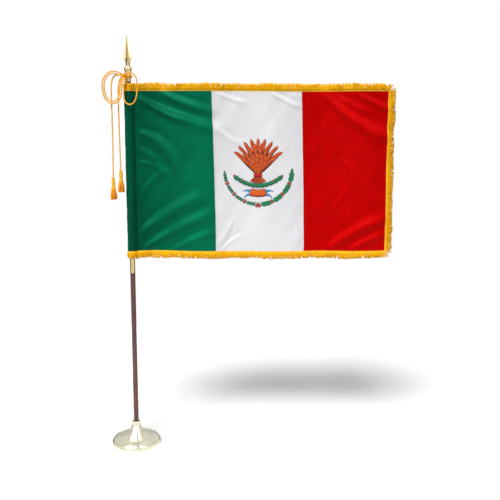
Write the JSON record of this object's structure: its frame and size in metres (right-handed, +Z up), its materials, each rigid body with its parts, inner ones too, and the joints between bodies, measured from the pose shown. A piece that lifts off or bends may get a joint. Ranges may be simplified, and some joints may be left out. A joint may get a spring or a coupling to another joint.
{
  "type": "indoor flag pole stand with fringed flag",
  "caption": "Weighted floor stand with a two-section wooden pole, spear finial, fringed three-panel flag, and a twisted cord with tassels.",
  "frame": {"origin": "centre of the stand's floor face, on the pole's axis", "axes": "+Z up along the pole; the flag flies towards +X and its front faces -Y"},
  "size_m": [1.6408, 0.288, 2.3568],
  "materials": {
    "plated_shell": "polished pale champagne-gold plating on spun steel",
    "cast_iron": "rough casting, painted black",
    "zinc_steel": "zinc-plated",
    "black_felt": "matte needle felt",
    "rubber": "matte",
    "nylon": "natural nylon, satin",
    "mahogany": "dark mahogany stain under satin lacquer",
    "polished_brass": "polished and lacquered",
    "green_cloth": "plain-woven nylon, soft sheen",
    "white_cloth": "plain-woven nylon, soft sheen",
    "red_cloth": "plain-woven nylon, soft sheen",
    "emblem_thread": "satin-stitch embroidery in several thread colours",
    "gold_fringe": "rayon bullion fringe",
    "gold_cord": "twisted rayon cord",
    "gold_head": "wound rayon thread",
    "tan_leather": "undyed strap leather"
  },
  "bodies": {
    "base": {"base_shell": "plated_shell", "ballast_disc": "cast_iron", "base_plate": "zinc_steel", "plate_screws": "zinc_steel", "floor_felt": "black_felt", "socket_tube": "zinc_steel", "socket_stop": "rubber", "lock_nut": "zinc_steel", "lock_washer": "zinc_steel", "collar": "plated_shell"},
    "bushing": {"pole_bushing": "nylon"},
    "pole_lower": {"lower_pole": "mahogany", "lower_joint_ferrule": "polished_brass"},
    "joint_stud": {"joint_stud": "zinc_steel"},
    "pole_upper": {"upper_pole": "mahogany", "upper_joint_ferrule": "polished_brass", "tab_screw": "polished_brass"},
    "flag": {"green_panel": "green_cloth", "white_panel": "white_cloth", "red_panel": "red_cloth", "emblem": "emblem_thread", "top_fringe": "gold_fringe", "bottom_fringe": "gold_fringe", "fly_fringe": "gold_fringe", "top_heading": "gold_fringe", "bottom_heading": "gold_fringe", "fly_heading": "gold_fringe", "leather_tab": "tan_leather"},
    "finial_ferrule": {"finial_ferrule": "polished_brass", "cord_knot": "gold_cord", "cord_long_end": "gold_cord", "cord_short_end": "gold_cord", "cord_outer_swag": "gold_cord", "cord_inner_swag": "gold_cord", "cord_right_loop": "gold_cord", "long_tassel_head": "gold_head", "short_tassel_head": "gold_head", "long_tassel_skirt": "gold_cord", "short_tassel_skirt": "gold_cord"},
    "spear_stud": {"spear_stud": "zinc_steel"},
    "spear": {"finial_bead_lower": "polished_brass", "finial_bead_ring": "polished_brass", "finial_bead_upper": "polished_brass", "spear_blade": "polished_brass"}
  },
  "joints": [
    {"name": "pole_turn", "type": "hinge", "parent": "base", "child": "bushing", "pos_m": [0, 0, 0.118], "axis": [0, 0, 1], "continuous": true},
    {"name": "pole_lift", "type": "slide", "parent": "bushing", "child": "pole_lower", "axis": [0, 0, 1], "range_m": [0, 0.13]},
    {"name": "joint_rise", "type": "slide", "parent": "pole_lower", "child": "joint_stud", "axis": [0, 0, 1], "range_m": [0, 0.01848]},
    {"name": "joint_unscrew", "type": "hinge", "parent": "joint_stud", "child": "pole_upper", "pos_m": [0, 0, 1.0808], "axis": [0, 0, 1], "range_deg": [0, 2880]},
    {"name": "flag_swing", "type": "hinge", "parent": "pole_upper", "child": "flag", "pos_m": [0, 0, 2.0396], "axis": [0, 0, 1], "range_deg": [-25, 25]},
    {"name": "finial_lift", "type": "slide", "parent": "pole_upper", "child": "finial_ferrule", "axis": [0, 0, 1], "range_m": [0, 0.05]},
    {"name": "spear_rise", "type": "slide", "parent": "finial_ferrule", "child": "spear_stud", "axis": [0, 0, 1], "range_m": [0, 0.00954]},
    {"name": "spear_unscrew", "type": "hinge", "parent": "spear_stud", "child": "spear", "pos_m": [0, 0, 2.1576], "axis": [0, 0, 1], "range_deg": [0, 2160]}
  ],
  "couplings": [
    {"joint": "joint_rise", "follows": "joint_unscrew", "m_per_rad": 0.0003675},
    {"joint": "spear_rise", "follows": "spear_unscrew", "m_per_rad": 0.00025266}
  ]
}
